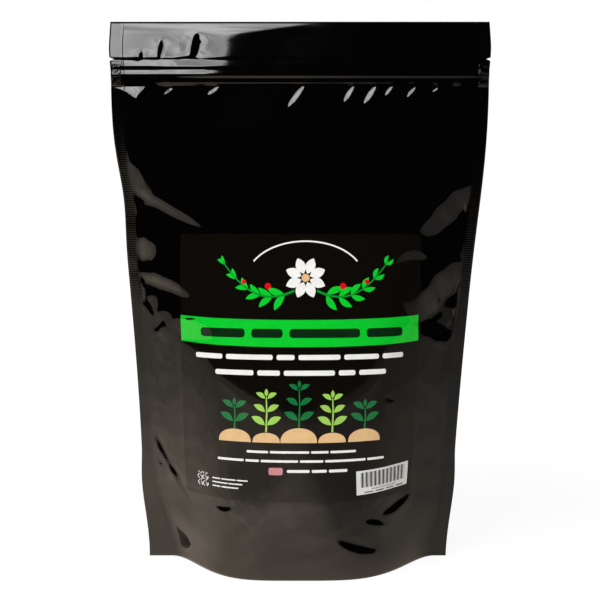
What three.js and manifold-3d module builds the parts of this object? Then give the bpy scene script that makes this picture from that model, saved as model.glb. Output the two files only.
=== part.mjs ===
// A filled stand-up pouch of potting compost, heat sealed at both sides, round the foot
// of its folded base gusset and across the header, with a press-to-close zip inside.
// Millimetres, +Z up, front towards -Y. The origin is on the floor, under the header.
//
// Film bends but does not stretch. So the pouch is lofted through level sections that all
// hold the same length of film: where the contents push the front and back further apart,
// the two side seals are drawn in by just as much as that length demands.

import * as THREE from 'three';
import { mergeVertices } from 'three/addons/utils/BufferGeometryUtils.js';
import Module from 'manifold-3d';

// The film blank
const FILM_WIDTH = 280;
const POUCH_HEIGHT = 402;
const SIDE_SEAL = 8;
const SEALED_FILMS = 1;

// The fill: half the pouch's depth at the floor, and the heap's outline above it. From the
// heap's top the film is drawn away towards the zip, and it is pulled straight higher up.
const BASE_HALF_DEPTH = 63.5;
const FILL_RISE = 1.7;
const FILL_SHOULDER = 0.68;
const HEAP_TOP = 200;
const PULLED_STRAIGHT = 280;
const LENS_CROWN = 2;
const LENS_EDGE = 0.75;

// The base: towards the floor the corners are pinched flat, into fins
const PINCH_HEIGHT = 85;
const FIN_LEFT = 17;
const FIN_RIGHT = 8;
const BASE_CROWN = 4;
const BASE_EDGE = 2.2;
const SKIRT_WALL = 1.2;
const SKIRT_HEIGHT = 4;
const CORNER_POCKET = 9;
const POCKET_REACH = 0.92;
const FLOOR_PATCH = 0.58;

// The zip: a welded tape with two profiles, crushed flat in the side seals
const ZIP_BELOW_TOP = 32;
const ZIP_TAPE_HEIGHT = 14;
const ZIP_TAPE_WALL = 0.35;
const ZIP_PROFILE_WIDTH = 2;
const ZIP_PROFILE_HEIGHT = 0.9;
const ZIP_UPPER_PROFILE = 6;
const ZIP_LOWER_PROFILE = 9.3;
const ZIP_CRUSHED = 0.35;

// Tear notches in both side seals, above the zip, and the length of the wedge that cuts them
const NOTCH_BELOW_TOP = 28.4;
const NOTCH_DEPTH = 2.4;
const NOTCH_WIDTH = 3;
const NOTCH_CUTTER = 8;

// How this pouch has slumped: its header back over the zip, in degrees, its foot to the
// left, and a dent in the left edge
const HEADER_LEAN = 24;
const FOOT_SHIFT = 2.7;
const FOOT_SHIFT_HEIGHT = 240;
const DENT_DEPTH = 3.2;
const DENT_HEIGHT = 272;
const DENT_REACH = 32;
const DENT_INNER = 40;
const DENT_OUTER = 130;

// Paper labels, held clear of what they are stuck on by the thickness of the glue
const GLUE = 0.3;
const LABEL_PAPER = 0.3;
const LABEL_WIDTH = 180;
const LABEL_TOP = 245;
const LABEL_BOTTOM = 56;
const BARCODE_WIDTH = 44;
const BARCODE_HEIGHT = 17;
const BARCODE_FROM_CENTRE = 63.9;
const BARCODE_LEVEL = 69.2;
const BARCODE_TILT = 2.6;

// Fineness of the mesh, and of the search for how far a face reaches
const FILM_STEPS = 30;
const SEAL_STEPS = 2;
const PINCH_STEPS = 8;
const BELLY_STEPS = 20;
const SHOULDER_STEPS = 9;
const SHOULDER_HEIGHT = 50;
const TAPE_EDGE_STEP = 0.02;
const PROFILE_STEPS = 3;
const HEADER_STEPS = 3;
const HOLLOW_STEPS = [36, 12];
const BARCODE_STEPS = [10, 4];
const FILM_SAMPLES = 240;
const SAMPLES_TO_SEAL = 1.5;
const REACH_TOLERANCE = 1e-5;
const WELD_TOLERANCE = 1e-5;

const wasm = await Module();
wasm.setup();

const ZIP_TOP = POUCH_HEIGHT - ZIP_BELOW_TOP;
const FILL_TOP = ZIP_TOP - ZIP_TAPE_HEIGHT;

function ease(t) {
  const k = Math.min(Math.max(t, 0), 1);
  return k * k * (3 - 2 * k);
}

function mix(a, b, k) {
  return a + (b - a) * k;
}

function heapDepth(z) {
  return BASE_HALF_DEPTH * (1 - (z / FILL_TOP) ** FILL_RISE) ** FILL_SHOULDER;
}

// How far the contents push one face out at its centre line, at height z: the heap, then a
// bend of even curvature, then a straight run to the zip.
function fillDepth(z) {
  if (z >= FILL_TOP) return 0;
  if (z <= HEAP_TOP) return heapDepth(z);
  const depth = heapDepth(HEAP_TOP);
  const slope = heapDepth(HEAP_TOP) - heapDepth(HEAP_TOP + 1);
  const bend = PULLED_STRAIGHT - HEAP_TOP;
  const steepest = (depth - (slope * bend) / 2) / (FILL_TOP - HEAP_TOP - bend / 2);
  const up = Math.min(z - HEAP_TOP, bend);
  const straight = Math.max(z - PULLED_STRAIGHT, 0);
  return depth - slope * up - ((steepest - slope) * up * up) / (2 * bend) - steepest * straight;
}

// How far back the pouch's middle plane stands at height z: the header leans from the zip.
function headerLean(z) {
  const fold = ZIP_TOP - ZIP_LOWER_PROFILE;
  return Math.max(z - fold, 0) * Math.tan(THREE.MathUtils.degToRad(HEADER_LEAN));
}

// One half of one face at height z, from the centre line (distance 0) to the seal, as
// points that know how much film lies behind them. The reach is found by bisection: it is
// the one at which the curve uses up all the film between the centre line and the seal.
const halfSections = new Map();
function halfSection(z, side) {
  const key = `${z.toFixed(4)} ${side}`;
  if (halfSections.has(key)) return halfSections.get(key);

  const above = ease(z / PINCH_HEIGHT);
  const crown = mix(BASE_CROWN, LENS_CROWN, above);
  const edge = mix(BASE_EDGE, LENS_EDGE, above);
  const flat = mix(side < 0 ? FIN_LEFT : FIN_RIGHT, SIDE_SEAL, above);
  const film = FILM_WIDTH / 2 - flat;
  const depth = fillDepth(z);

  const trace = (reach) => {
    const points = [{ x: 0, y: depth, film: 0 }];
    for (let i = 1; i <= FILM_SAMPLES; i += 1) {
      const t = 1 - (1 - i / FILM_SAMPLES) ** SAMPLES_TO_SEAL;
      const x = reach * t;
      const y = depth * Math.max(1 - t ** crown, 0) ** edge;
      const last = points[i - 1];
      points.push({ x, y, film: last.film + Math.hypot(x - last.x, y - last.y) });
    }
    return points;
  };

  let low = 0;
  let high = film;
  while (high - low > REACH_TOLERANCE) {
    const reach = (low + high) / 2;
    if (trace(reach)[FILM_SAMPLES].film > film) high = reach;
    else low = reach;
  }
  const section = { points: trace(low), reach: low, film };
  halfSections.set(key, section);
  return section;
}

// How far the zip stands out of the header at height z, and at a distance along the film.
function zipRelief(z, along) {
  const below = ZIP_TOP - z;
  if (below < 0 || below > ZIP_TAPE_HEIGHT) return 0;
  let relief = ZIP_TAPE_WALL;
  for (const centre of [ZIP_UPPER_PROFILE, ZIP_LOWER_PROFILE]) {
    const off = (below - centre) / (ZIP_PROFILE_WIDTH / 2);
    if (Math.abs(off) < 1) relief += ZIP_PROFILE_HEIGHT * Math.sqrt(1 - off * off);
  }
  const inSeal = Math.abs(along) > FILM_WIDTH / 2 - SIDE_SEAL;
  return inSeal ? Math.min(relief, ZIP_CRUSHED) : relief;
}

// Where the film lies: "along" is its distance from the centre line, negative to the left,
// and y is how far the face stands out from the pouch's middle plane.
function filmPoint(along, z) {
  const side = Math.sign(along) || 1;
  const { points, reach, film } = halfSection(z, side);
  const distance = Math.abs(along);
  let x = reach + distance - film;
  let y = 0;
  if (distance < film) {
    let i = 1;
    while (points[i].film < distance && i < FILM_SAMPLES) i += 1;
    const [a, b] = [points[i - 1], points[i]];
    const k = (distance - a.film) / (b.film - a.film);
    x = mix(a.x, b.x, k);
    y = mix(a.y, b.y, k);
  }
  x *= side;
  x -= FOOT_SHIFT * Math.max(0, 1 - z / FOOT_SHIFT_HEIGHT) ** 2;
  const dented = Math.exp(-(((z - DENT_HEIGHT) / DENT_REACH) ** 2));
  x += DENT_DEPTH * dented * ease((-x - DENT_INNER) / (DENT_OUTER - DENT_INNER));
  return { x, y: SEALED_FILMS / 2 + y };
}

// The stations along the film: a few in each side seal, the rest evenly between them.
function filmStations() {
  const half = FILM_WIDTH / 2;
  const inner = half - SIDE_SEAL;
  const stations = [];
  for (let i = 0; i < SEAL_STEPS; i += 1) stations.push(-half + (SIDE_SEAL * i) / SEAL_STEPS);
  for (let i = 0; i <= FILM_STEPS; i += 1) stations.push(-inner + (2 * inner * i) / FILM_STEPS);
  for (let i = 1; i <= SEAL_STEPS; i += 1) stations.push(inner + (SIDE_SEAL * i) / SEAL_STEPS);
  return stations;
}

// The levels of the loft: even over the gusset and the belly, closing up towards the
// shoulder, one at each edge of the zip's tape and profiles, and a few in the header.
function levels() {
  const list = [];
  const shoulder = FILL_TOP - SHOULDER_HEIGHT;
  for (let i = 0; i < PINCH_STEPS; i += 1) list.push((PINCH_HEIGHT * i) / PINCH_STEPS);
  for (let i = 0; i < BELLY_STEPS; i += 1) list.push(mix(PINCH_HEIGHT, shoulder, i / BELLY_STEPS));
  for (let i = 0; i < SHOULDER_STEPS; i += 1) {
    const left = 1 - i / SHOULDER_STEPS;
    list.push(FILL_TOP - SHOULDER_HEIGHT * left * left);
  }
  list.push(FILL_TOP - TAPE_EDGE_STEP, FILL_TOP);
  for (const centre of [ZIP_LOWER_PROFILE, ZIP_UPPER_PROFILE]) {
    for (let i = -PROFILE_STEPS; i <= PROFILE_STEPS; i += 1) {
      const across = Math.sin((i / PROFILE_STEPS) * (Math.PI / 2));
      list.push(ZIP_TOP - centre + (across * ZIP_PROFILE_WIDTH) / 2);
    }
  }
  list.push(ZIP_TOP, ZIP_TOP + TAPE_EDGE_STEP);
  for (let i = 1; i <= HEADER_STEPS; i += 1) list.push(mix(ZIP_TOP, POUCH_HEIGHT, i / HEADER_STEPS));
  return list;
}

// A closed mesh from rings of points that all have the same count, with the two end rings
// closed by a ladder from each front point to the back point behind it.
function loftRings(rings) {
  const count = rings[0].length;
  const positions = rings.flat(2);
  const faces = [];
  for (let r = 0; r + 1 < rings.length; r += 1) {
    for (let i = 0; i < count; i += 1) {
      const a = r * count + i;
      const b = r * count + ((i + 1) % count);
      faces.push(a, b, b + count, a, b + count, a + count);
    }
  }
  const top = (rings.length - 1) * count;
  for (let i = 0; i + 1 < count / 2; i += 1) {
    const [a, b, c, d] = [i, i + 1, count - 2 - i, count - 1 - i];
    faces.push(a, c, b, a, d, c);
    faces.push(top + a, top + b, top + c, top + a, top + c, top + d);
  }
  const geometry = new THREE.BufferGeometry();
  geometry.setAttribute('position', new THREE.Float32BufferAttribute(positions, 3));
  geometry.setIndex(faces);
  return geometry;
}

function toSolid(geometry) {
  const bare = geometry.clone();
  bare.deleteAttribute('normal');
  bare.deleteAttribute('uv');
  const merged = mergeVertices(bare, WELD_TOLERANCE);
  return new wasm.Manifold(new wasm.Mesh({
    numProp: 3,
    vertProperties: new Float32Array(merged.attributes.position.array),
    triVerts: new Uint32Array(merged.index.array),
  }));
}

function toGeometry(solid) {
  const { vertProperties, triVerts } = solid.getMesh();
  const geometry = new THREE.BufferGeometry();
  geometry.setAttribute('position', new THREE.Float32BufferAttribute(vertProperties, 3));
  geometry.setIndex(new THREE.BufferAttribute(triVerts, 1));
  geometry.computeVertexNormals();
  return geometry;
}

// Front, back, gusset film, zip and contents as the one closed body they are when sealed.
function pouchBody() {
  const stations = filmStations();
  const rings = levels().map((z) => {
    const face = stations.map((along) => {
      const { x, y } = filmPoint(along, z);
      return { x, y: y + zipRelief(z, along) };
    });
    const front = face.map(({ x, y }) => [x, headerLean(z) - y, z]);
    const back = face.map(({ x, y }) => [x, headerLean(z) + y, z]).reverse();
    return [...front, ...back];
  });
  return toSolid(loftRings(rings));
}

// The hollow under the gusset. The skirt stands on the floor all round, the gusset film
// rises inside it, higher towards the fins, and the contents press its middle down flat.
function gussetHollow() {
  const [columns, rows] = HOLLOW_STEPS;
  const clearOfFloor = 4;
  const clearOfPatch = 0.5;
  const leftReach = halfSection(0, -1).reach * POCKET_REACH;
  const rightReach = halfSection(0, 1).reach * POCKET_REACH;

  const strip = (i) => {
    const q = mix(-1, 1, i / columns);
    const reach = q < 0 ? leftReach : rightReach;
    const x = q * reach;
    const { points } = halfSection(0, q < 0 ? -1 : 1);
    const face = points.find((p) => p.x >= Math.abs(x));
    const half = face.y + SEALED_FILMS / 2 - SKIRT_WALL;
    const roof = [];
    for (let j = 0; j <= rows; j += 1) {
      const t = mix(-1, 1, j / rows);
      const outward = Math.cbrt(Math.abs(q) ** 3 + Math.abs(t) ** 3);
      const rise = mix(SKIRT_HEIGHT, CORNER_POCKET, Math.abs(q) ** 3);
      const lift = ease((outward - FLOOR_PATCH) / (1 - FLOOR_PATCH));
      roof.push([x - FOOT_SHIFT, t * half, mix(-clearOfPatch, rise, lift)]);
    }
    const floor = roof.map(([px, py]) => [px, py, -clearOfFloor]);
    return [...floor, ...roof.reverse()];
  };

  const rings = [];
  for (let i = 0; i <= columns; i += 1) rings.push(strip(i));
  return toSolid(loftRings(rings));
}

// A wedge with its edge across the film, as deep again outside the pouch as inside it.
function tearNotch(side) {
  const level = POUCH_HEIGHT - NOTCH_BELOW_TOP;
  const shape = new THREE.Shape();
  shape.moveTo(-NOTCH_DEPTH, 0);
  shape.lineTo(NOTCH_DEPTH, -NOTCH_WIDTH);
  shape.lineTo(NOTCH_DEPTH, NOTCH_WIDTH);
  shape.closePath();
  const geometry = new THREE.ExtrudeGeometry(shape, { depth: NOTCH_CUTTER, bevelEnabled: false });
  geometry.translate(0, 0, -NOTCH_CUTTER / 2);
  geometry.rotateX(Math.PI / 2);
  if (side < 0) geometry.rotateZ(Math.PI);
  geometry.translate((side * FILM_WIDTH) / 2, headerLean(level), level);
  return toSolid(geometry);
}

function makePouch() {
  const body = pouchBody()
    .subtract(gussetHollow())
    .subtract(tearNotch(-1))
    .subtract(tearNotch(1));
  return toGeometry(body);
}

// A point on the front film, lifted off it by "lift" along the film's own normal.
function frontPoint(along, z, lift) {
  const step = 0.5;
  const at = (a, h) => {
    const { x, y } = filmPoint(a, h);
    return new THREE.Vector3(x, -y, h);
  };
  const across = at(along + step, z).sub(at(along - step, z));
  const up = at(along, z + step).sub(at(along, z - step));
  const normal = across.cross(up).normalize();
  return at(along, z).addScaledVector(normal, lift);
}

// Paper laid on the front film. "columns" and "rows" are positions across and up the flat
// paper, and "place" turns such a position into a distance along the film and a height.
function paperOnFilm(columns, rows, lift, place) {
  const rings = columns.map((across) => {
    const spots = rows.map((up) => place(across, up));
    const under = spots.map(([along, z]) => frontPoint(along, z, lift).toArray());
    const over = spots.map(([along, z]) => frontPoint(along, z, lift + LABEL_PAPER).toArray());
    return [...under, ...over.reverse()];
  });
  return toGeometry(toSolid(loftRings(rings)));
}

// The front label bends at the film's own stations and levels, so it lies on its facets.
function makeFrontLabel() {
  const between = (list, low, high) => [low, ...list.filter((v) => v > low && v < high), high];
  const columns = between(filmStations(), -LABEL_WIDTH / 2, LABEL_WIDTH / 2);
  const rows = between(levels(), LABEL_BOTTOM, LABEL_TOP);
  return paperOnFilm(columns, rows, GLUE, (across, up) => [across, up]);
}

function makeBarcodeLabel() {
  const tilt = THREE.MathUtils.degToRad(BARCODE_TILT);
  const spread = (size, steps) => Array.from({ length: steps + 1 }, (_, i) => size * (i / steps - 0.5));
  const columns = spread(BARCODE_WIDTH, BARCODE_STEPS[0]);
  const rows = spread(BARCODE_HEIGHT, BARCODE_STEPS[1]);
  return paperOnFilm(columns, rows, GLUE + LABEL_PAPER + GLUE, (across, up) => [
    BARCODE_FROM_CENTRE + across * Math.cos(tilt) - up * Math.sin(tilt),
    BARCODE_LEVEL + across * Math.sin(tilt) + up * Math.cos(tilt),
  ]);
}

const laminatedFilm = new THREE.MeshStandardMaterial({ color: 0x0a0a09, roughness: 0.12, metalness: 0 });
const satinPaper = new THREE.MeshStandardMaterial({ color: 0x14120f, roughness: 0.4, metalness: 0 });
const whitePaper = new THREE.MeshStandardMaterial({ color: 0xf2f2ee, roughness: 0.6, metalness: 0 });

function named(name, geometry, material) {
  const mesh = new THREE.Mesh(geometry, material);
  mesh.name = name;
  return mesh;
}

const compostPouch = new THREE.Group();
compostPouch.add(named('pouch', makePouch(), laminatedFilm));
compostPouch.add(named('front_label', makeFrontLabel(), satinPaper));
compostPouch.add(named('barcode_label', makeBarcodeLabel(), whitePaper));

export default compostPouch;
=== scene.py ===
from math import atan2, cos, hypot, pi, radians, sin, tan

import bpy
import numpy as np
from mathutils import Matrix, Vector
from mathutils.geometry import delaunay_2d_cdt


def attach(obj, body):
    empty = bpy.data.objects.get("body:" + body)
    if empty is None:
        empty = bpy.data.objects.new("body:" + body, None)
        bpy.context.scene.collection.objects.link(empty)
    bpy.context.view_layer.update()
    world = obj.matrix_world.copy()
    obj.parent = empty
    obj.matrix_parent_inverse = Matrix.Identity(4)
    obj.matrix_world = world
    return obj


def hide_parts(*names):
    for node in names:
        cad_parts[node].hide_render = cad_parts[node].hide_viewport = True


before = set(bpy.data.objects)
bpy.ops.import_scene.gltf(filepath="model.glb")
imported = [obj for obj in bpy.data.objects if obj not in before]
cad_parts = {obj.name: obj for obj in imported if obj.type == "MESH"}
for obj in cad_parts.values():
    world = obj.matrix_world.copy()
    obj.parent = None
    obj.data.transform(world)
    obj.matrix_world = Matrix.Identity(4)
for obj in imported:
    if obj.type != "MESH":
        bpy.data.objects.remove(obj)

scene = bpy.context.scene
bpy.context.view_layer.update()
bpy.ops.object.select_all(action="DESELECT")


# Camera: it stands 0.9 m in front of the pouch, a little above the middle, and looks slightly down,
# so the film's lower half mirrors the floor in front and its upper half the dark end of the room.
EYE = (0.0, -0.9, 0.26)
LOOKS_DOWN = 4.12
LENS, SENSOR = 72.13, 36
SEES_TO = 200

bpy.ops.object.camera_add(location=EYE, rotation=(radians(90 - LOOKS_DOWN), 0, 0))
camera = bpy.context.object
camera.data.sensor_width = SENSOR
camera.data.lens = LENS
camera.data.clip_end = SEES_TO
scene.camera = camera


# Floor and background: a seamless white paper table with a white backdrop behind it. The eye sees plain
# white paper with the pouch's own shadow. The film mirrors the paper with painted light on it: a glow that is
# brightest near the pouch on the left, dimmer to the right and further off, warm and patchy, stands in for
# the studio's light.
FLOOR_RADIUS = 60.0
FLOOR_WHITE = "#f2f1ef"
# Painted warm light: the tint of the glow that the film mirrors, where the eye sees white.
FLOOR_PAINTED_WARM_LIGHT = "#ffead2"
FLOOR_GLOW, FLOOR_SHADE = 0.9, 0.16
# The painted light that the film finds on the floor. Each of these is from and to, in metres, then the level
# at either end; a patch is in millimetres, and its limits are those of the noise.
FLOOR_DIM = (-0.08, 0.17, 1.0, 0.27)
FLOOR_FADE = (0.3, 1.1, 1.0, 0.38)
FLOOR_LIGHT_PATCH, FLOOR_LIGHT_PATCHY = 110.0, (0.32, 0.68, 0.7, 1.0)
# The glow the eye sees: a little lower near the pouch, so that its real shadow still shows there.
EYE_GLOW = (0.3, 0.8, FLOOR_GLOW, 1.0)
AMBIENT = 0.30
MM = 0.001


def linear(colour):
    """Linear red, green, blue and alpha of an sRGB hex colour."""
    parts = [int(colour[i:i + 2], 16) / 255 for i in (1, 3, 5)]
    return tuple(c / 12.92 if c <= 0.04045 else ((c + 0.055) / 1.055) ** 2.4 for c in parts) + (1.0,)


def node(tree, kind, links=(), **settings):
    """Adds a node. Its settings name properties. Its links are values, sockets or nodes for its inputs, in a
    list in their order or in a dict by name or number."""
    made = tree.nodes.new(kind)
    for name, value in settings.items():
        setattr(made, name, value)
    for name, value in links.items() if isinstance(links, dict) else enumerate(links):
        if isinstance(value, bpy.types.Node):
            value = value.outputs[0]
        if isinstance(value, bpy.types.NodeSocket):
            tree.links.new(value, made.inputs[name])
        else:
            made.inputs[name].default_value = value
    return made


def new_material(name):
    """An empty material and its node tree with the output node."""
    made = bpy.data.materials.new(name)
    made.use_nodes = True
    made.node_tree.nodes.clear()
    return made, made.node_tree, node(made.node_tree, "ShaderNodeOutputMaterial")


def seen_by_eye(tree):
    """One for camera, glossy and transmitted rays, nought for the rest."""
    ray = node(tree, "ShaderNodeLightPath").outputs
    two = node(tree, "ShaderNodeMath", [ray["Is Camera Ray"], ray["Is Glossy Ray"]], operation="ADD")
    return node(tree, "ShaderNodeMath", [two, ray["Is Transmission Ray"]], operation="ADD", use_clamp=True)


bpy.ops.mesh.primitive_circle_add(vertices=96, radius=FLOOR_RADIUS, fill_type="NGON")
floor = bpy.context.object
floor.name = "floor"

# Matt white paper that glows: the eye finds it even, and the film finds painted light on it, warm, in soft
# patches.
paper, tree, out = new_material("white backdrop paper with painted light")
where = node(tree, "ShaderNodeTexCoord").outputs["Object"]
floor_x = node(tree, "ShaderNodeSeparateXYZ", [where])
away = node(tree, "ShaderNodeVectorMath", [where], operation="LENGTH").outputs["Value"]
light_spots = node(tree, "ShaderNodeTexNoise", {"Vector": where, "Scale": 1 / (FLOOR_LIGHT_PATCH * MM), "Detail": 2.0})
dimmed = node(tree, "ShaderNodeMapRange", [floor_x, *FLOOR_DIM], interpolation_type="SMOOTHSTEP")
faded = node(tree, "ShaderNodeMapRange", [away, *FLOOR_FADE], interpolation_type="SMOOTHSTEP")
patchy_light = node(tree, "ShaderNodeMapRange", [light_spots, *FLOOR_LIGHT_PATCHY], interpolation_type="SMOOTHSTEP")
to_film = node(tree, "ShaderNodeMath", [dimmed, faded], operation="MULTIPLY")
to_film = node(tree, "ShaderNodeMath", [to_film, patchy_light], operation="MULTIPLY")
to_eye = node(tree, "ShaderNodeMapRange", [away, *EYE_GLOW], interpolation_type="SMOOTHSTEP")
straight = node(tree, "ShaderNodeLightPath").outputs["Is Camera Ray"]
# Painted warm light in what the film mirrors; the eye gets plain white.
light_tint = node(tree, "ShaderNodeMix", {"Factor": straight, 6: linear(FLOOR_PAINTED_WARM_LIGHT), 7: (1, 1, 1, 1)},
            data_type="RGBA")
glow = node(tree, "ShaderNodeMix", {"Factor": straight, 2: to_film, 3: to_eye}, data_type="FLOAT")
shine = node(tree, "ShaderNodeEmission", [light_tint.outputs[2], glow])
shade = node(tree, "ShaderNodeBsdfDiffuse", [(FLOOR_SHADE,) * 3 + (1,)])
shown = node(tree, "ShaderNodeAddShader", [shine, shade])
plain = node(tree, "ShaderNodeBsdfDiffuse", [linear(FLOOR_WHITE)])
both = node(tree, "ShaderNodeMixShader", [seen_by_eye(tree), plain, shown])
tree.links.new(both.outputs[0], out.inputs["Surface"])
floor.data.materials.append(paper)

scene.world = bpy.data.worlds.new("studio")
scene.world.use_nodes = True
tree = scene.world.node_tree
tree.nodes.clear()
level = node(tree, "ShaderNodeMapRange", {"Value": seen_by_eye(tree), "To Min": AMBIENT, "To Max": 1.0})
light = node(tree, "ShaderNodeBackground", [(1, 1, 1, 1), level])
node(tree, "ShaderNodeOutputWorld", [light])


# Room: the unlit studio round the table. Only the film's gloss sees it, and it is what keeps black film
# black; behind the pouch it is open, where the white backdrop stands.
ROOM_RADIUS = 9.0
ROOM_SHADE_GREY = "#0c0c0c"
ROOM_OPENING, ROOM_OPENING_TOP = 30, 0.35

bpy.ops.mesh.primitive_uv_sphere_add(segments=72, ring_count=36, radius=ROOM_RADIUS)
room = bpy.context.object
room.name = "room"
bpy.ops.object.mode_set(mode="EDIT")
bpy.ops.mesh.select_all(action="DESELECT")
bpy.ops.object.mode_set(mode="OBJECT")
for face in room.data.polygons:
    x, y, z = face.center
    face.select = z < 0 or (abs(atan2(x, y)) < radians(ROOM_OPENING) and z < ROOM_OPENING_TOP * ROOM_RADIUS)
bpy.ops.object.mode_set(mode="EDIT")
bpy.ops.mesh.delete(type="FACE")
bpy.ops.object.mode_set(mode="OBJECT")
room.visible_camera = room.visible_diffuse = room.visible_transmission = room.visible_shadow = False

# Unlit wall: a faint near-black glow, painted shade for the dark room, so the film shows no wall at all.
unlit, tree, out = new_material("unlit studio wall")
tree.links.new(node(tree, "ShaderNodeEmission", [linear(ROOM_SHADE_GREY)]).outputs[0], out.inputs["Surface"])
room.data.materials.append(unlit)


# Lamps: a softbox overhead on the left, which the leaning header and the film's creases mirror, and two
# wide fills beside the camera that light the label evenly and stay out of the gloss.
SOFTBOX_PLACE = (-0.689, -0.955, 2.022)
SOFTBOX_AIM = (-0.389, 0.015, 0.332)
SOFTBOX_SIZE = (1.5, 0.744)
SOFTBOX_POWER = 17.5
SOFTBOX_FOLDS, FOLD_COUNT = (0.3, 0.7, 0.55, 1.3), 7.0
# A black flag covers its right end below a slanting line: where the flag starts, as a share of the width,
# the line's height there, as a share of the height, and how steeply the line climbs.
FLAG_START, FLAG_HEIGHT, FLAG_CLIMB = 0.85, 0.575, 4.6
# How soft the line and the flag's end are, in the same shares.
LINE_SOFT, END_SOFT = 0.03, 0.005
FILL_PLACES = ((-1.5, -2.0, 0.9), (1.5, -2.0, 0.9))
FILL_SIZE, FILL_AIM = (1.4, 1.4), (0, 0, 0.2)
FILL_POWERS = (29.0, 17.0)


def softbox(name, place, aim, size, power, mirrored):
    """A rectangular area lamp at place, turned towards aim."""
    bpy.ops.object.light_add(type="AREA", location=place)
    lamp = bpy.context.object
    lamp.name = name
    lamp.data.shape = "RECTANGLE"
    lamp.data.size, lamp.data.size_y = size
    lamp.data.energy = power
    away = np.subtract(place, aim)
    lamp.rotation_euler = (atan2(hypot(away[0], away[1]), away[2]), 0, atan2(away[1], away[0]) + pi / 2)
    lamp.visible_camera = False
    lamp.visible_glossy = mirrored
    return lamp


overhead = softbox("overhead_softbox", SOFTBOX_PLACE, SOFTBOX_AIM, SOFTBOX_SIZE, SOFTBOX_POWER, True)
overhead.data.use_nodes = True
tree = overhead.data.node_tree
cloth = node(tree, "ShaderNodeNewGeometry").outputs["Parametric"]
folds = node(tree, "ShaderNodeTexNoise", {"Vector": cloth, "Scale": FOLD_COUNT, "Detail": 2.0})
folds = node(tree, "ShaderNodeMapRange", [folds, *SOFTBOX_FOLDS], interpolation_type="SMOOTHSTEP")
place_on = node(tree, "ShaderNodeSeparateXYZ", [cloth]).outputs
line = node(tree, "ShaderNodeMath", [place_on["X"], -FLAG_CLIMB, FLAG_CLIMB * FLAG_START - FLAG_HEIGHT],
            operation="MULTIPLY_ADD")
over_line = node(tree, "ShaderNodeMath", [place_on["Y"], line], operation="ADD")
over_line = node(tree, "ShaderNodeMapRange", [over_line, -LINE_SOFT, LINE_SOFT])
clear = node(tree, "ShaderNodeMapRange", [place_on["X"], FLAG_START + END_SOFT, FLAG_START - END_SOFT])
unflagged = node(tree, "ShaderNodeMath", [over_line, clear], operation="MAXIMUM")
lit = node(tree, "ShaderNodeMath", [folds, unflagged], operation="MULTIPLY")
tree.links.new(lit.outputs[0], tree.nodes["Emission"].inputs["Strength"])
for number, place in enumerate(FILL_PLACES):
    softbox(f"fill_{number}", place, FILL_AIM, FILL_SIZE, FILL_POWERS[number], False)


# Pouch: one stand-up pouch of laminated black film, heat-sealed down both sides and across the top,
# with a press-to-close zip and a gusset folded in underneath that the compost pushes out to a foot.
# Front, rear and gusset are one closed shell here, and all sizes are in millimetres.
FILM_WIDTH = 280.0
POUCH_HEIGHT = 402.0
SIDE_SEAL = 8.0
FILM_PAIR = 0.35
BASE_HALF_DEPTH = 63.5
FILL_RISE = 1.7
FILL_SHOULDER = 0.68
FILL_TOP = 356.0
HEAP_TOP, PULLED_STRAIGHT = 200.0, 280.0
PINCH_HEIGHT = 85.0
FIN_LEFT, FIN_RIGHT = 17.0, 8.0
BASE_CROWN, LENS_CROWN = 4.0, 2.0
BASE_EDGE, LENS_EDGE = 2.2, 0.75
# The film's own section: up to which height it leaves the base's, then its crown and edge, in the middle
# and at the flanks, where it comes in level with the seal.
FRONT_SHAPE, FLANK_SHAPE = (92.0, 2.3, 1.0), (40.0, 2.0, 1.2)
FLANK_FROM, FLANK_OVER = 0.45, 0.35
SECTION_POINTS, SECTION_CROWDING, SECTION_TRIES = 301, 1.5, 36
# The foot stands a little to the left, and the left side is drawn in where the film is pulled to the zip.
FOOT_SHIFT, FOOT_SHIFT_HEIGHT = 2.7, 240.0
PULL_DEPTH, PULL_HEIGHT, PULL_REACH = 3.2, 272.0, 32.0
PULL_FROM, PULL_OVER = 40, 90
HEADER_FLARE, FLARE_OVER = 0.019, 30
HEADER_RISE, RISE_FROM, RISE_OVER = 1.8, 355.0, 11.0
NOTCH_HEIGHT, NOTCH_HALF, NOTCH_DEPTH = 372.6, 1.3, 3.4
NOTCH_FROM, NOTCH_OVER = 130, 10
# The gusset panel from front to rear: share of the half depth, then share of the skirt's height.
SKIRT_HEIGHT, SKIRT_OPENS = 4.0, 12
GUSSET_PROFILE = ((-0.985, 0), (-0.965, 1), (-0.6, 1.1), (-0.2, 1.4),
                  (0.2, 1.4), (0.6, 1.1), (0.965, 1), (0.985, 0))
GUSSET_SEED, GUSSET_SWELLS, GUSSET_OPENS = 31, (0.5, 20, 60), 30
GUSSET_STATION, GUSSET_INSET = 60, 0.997
# Heights of the film's rows, from, to and how many: closer over the zip, where the shape is finest.
ROW_SPANS = ((0, 350, 201), (350.5, 376, 52), (377, 402, 18))
FILM_STATIONS = 176

# How far the film leans back, in degrees, from each height up: level up to the zip, then back over it.
LEANS = ((0, 0), (360.8, 0), (361.8, 24), (364.6, 24), (365.0, 8), (366.2, 8), (367.0, 25), (371.8, 25),
         (372.4, 17), (373.2, 17), (374.4, 24.5), (392, 24.5), (399, 27), (402, 28))
# How far the zip's tape and its lower profile stand out of the front film, at each height and at each film
# distance: their undersides face the floor, less so where the zip is creased flat near its ends.
TAPE_STEP = ((354.0, 0), (356.4, 0.75)), ((-112, 0.25), (-92, 1), (45, 1), (80, 0.35), (132, 0.2))
PROFILE_STEP = ((359.6, 0), (360.3, 0.4)), ((-95, 0.1), (-70, 1), (120, 1), (132, 0.3))
STEPS_EVEN_FROM, STEPS_EVEN_OVER = 362, 14
LEAN_FROM, LEAN_POINTS = 350, 1041

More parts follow.
